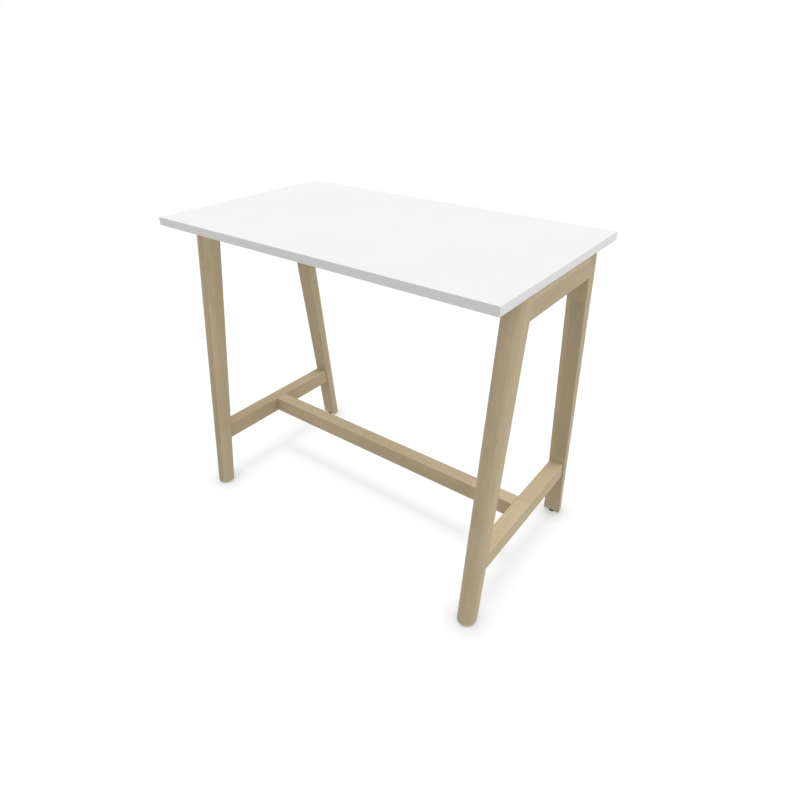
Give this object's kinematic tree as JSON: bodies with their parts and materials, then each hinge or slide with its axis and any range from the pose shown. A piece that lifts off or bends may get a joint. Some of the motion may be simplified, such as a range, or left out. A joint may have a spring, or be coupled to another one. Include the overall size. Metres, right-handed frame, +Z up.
{
  "type": "high table",
  "caption": "High rectangular table: white board on splayed half-round wooden legs, with end rails, low stretchers and screw-in levelling glides.",
  "frame": {"origin": "on the floor under the middle of the top", "axes": "+X along the table to its right end, -Y to the front, +Z up"},
  "size_m": [1.2, 0.7, 1.05],
  "materials": {
    "white_board": "chipboard faced with fine matt white melamine",
    "white_edge": "matt white plastic edge band",
    "pale_wood": "pale solid wood, matt lacquer, fine lengthwise grain",
    "dowel_wood": "plain fluted beech",
    "white_steel": "matt white powder coat",
    "zinc_steel": "bright zinc plate",
    "dark_steel": "black zinc plate",
    "black_plastic": "black moulded plastic"
  },
  "bodies": {
    "table": {"top_board": "white_board", "edge_band_front": "white_edge", "edge_band_back": "white_edge", "edge_band_left": "white_edge", "edge_band_right": "white_edge", "leg_front_left": "pale_wood", "leg_front_right": "pale_wood", "leg_back_left": "pale_wood", "leg_back_right": "pale_wood", "upper_rail_left": "pale_wood", "upper_rail_right": "pale_wood", "side_stretcher_left": "pale_wood", "side_stretcher_right": "pale_wood", "long_stretcher": "pale_wood", "rail_dowels": "dowel_wood", "side_stretcher_dowels": "dowel_wood", "long_stretcher_dowels": "dowel_wood", "top_beam_front": "white_steel", "top_beam_back": "white_steel", "beam_end_plates": "white_steel", "stretcher_studs": "zinc_steel", "stretcher_washers": "zinc_steel", "stretcher_nuts": "zinc_steel", "beam_screws": "zinc_steel", "rail_inserts": "zinc_steel", "top_screws": "zinc_steel", "glide_inserts": "zinc_steel"},
    "front_left_pad": {"glide_pad_front_left": "black_plastic"},
    "front_left_stem": {"glide_stem_front_left": "dark_steel"},
    "front_right_pad": {"glide_pad_front_right": "black_plastic"},
    "front_right_stem": {"glide_stem_front_right": "dark_steel"},
    "back_left_pad": {"glide_pad_back_left": "black_plastic"},
    "back_left_stem": {"glide_stem_back_left": "dark_steel"},
    "back_right_pad": {"glide_pad_back_right": "black_plastic"},
    "back_right_stem": {"glide_stem_back_right": "dark_steel"}
  },
  "joints": [
    {"name": "front_left_height", "type": "slide", "parent": "table", "child": "front_left_pad", "axis": [0, 0, -1], "range_m": [0, 0.01]},
    {"name": "front_left_turn", "type": "hinge", "parent": "front_left_pad", "child": "front_left_stem", "pos_m": [-0.5665, -0.306, 0.004], "axis": [0, 0, -1], "range_deg": [0, 2880]},
    {"name": "front_right_height", "type": "slide", "parent": "table", "child": "front_right_pad", "axis": [0, 0, -1], "range_m": [0, 0.01]},
    {"name": "front_right_turn", "type": "hinge", "parent": "front_right_pad", "child": "front_right_stem", "pos_m": [0.5665, -0.306, 0.004], "axis": [0, 0, -1], "range_deg": [0, 2880]},
    {"name": "back_left_height", "type": "slide", "parent": "table", "child": "back_left_pad", "axis": [0, 0, -1], "range_m": [0, 0.01]},
    {"name": "back_left_turn", "type": "hinge", "parent": "back_left_pad", "child": "back_left_stem", "pos_m": [-0.5665, 0.306, 0.004], "axis": [0, 0, -1], "range_deg": [0, 2880]},
    {"name": "back_right_height", "type": "slide", "parent": "table", "child": "back_right_pad", "axis": [0, 0, -1], "range_m": [0, 0.01]},
    {"name": "back_right_turn", "type": "hinge", "parent": "back_right_pad", "child": "back_right_stem", "pos_m": [0.5665, 0.306, 0.004], "axis": [0, 0, -1], "range_deg": [0, 2880]}
  ],
  "couplings": [
    {"joint": "front_left_height", "follows": "front_left_turn", "m_per_rad": 0.00019894},
    {"joint": "front_right_height", "follows": "front_right_turn", "m_per_rad": 0.00019894},
    {"joint": "back_left_height", "follows": "back_left_turn", "m_per_rad": 0.00019894},
    {"joint": "back_right_height", "follows": "back_right_turn", "m_per_rad": 0.00019894}
  ]
}
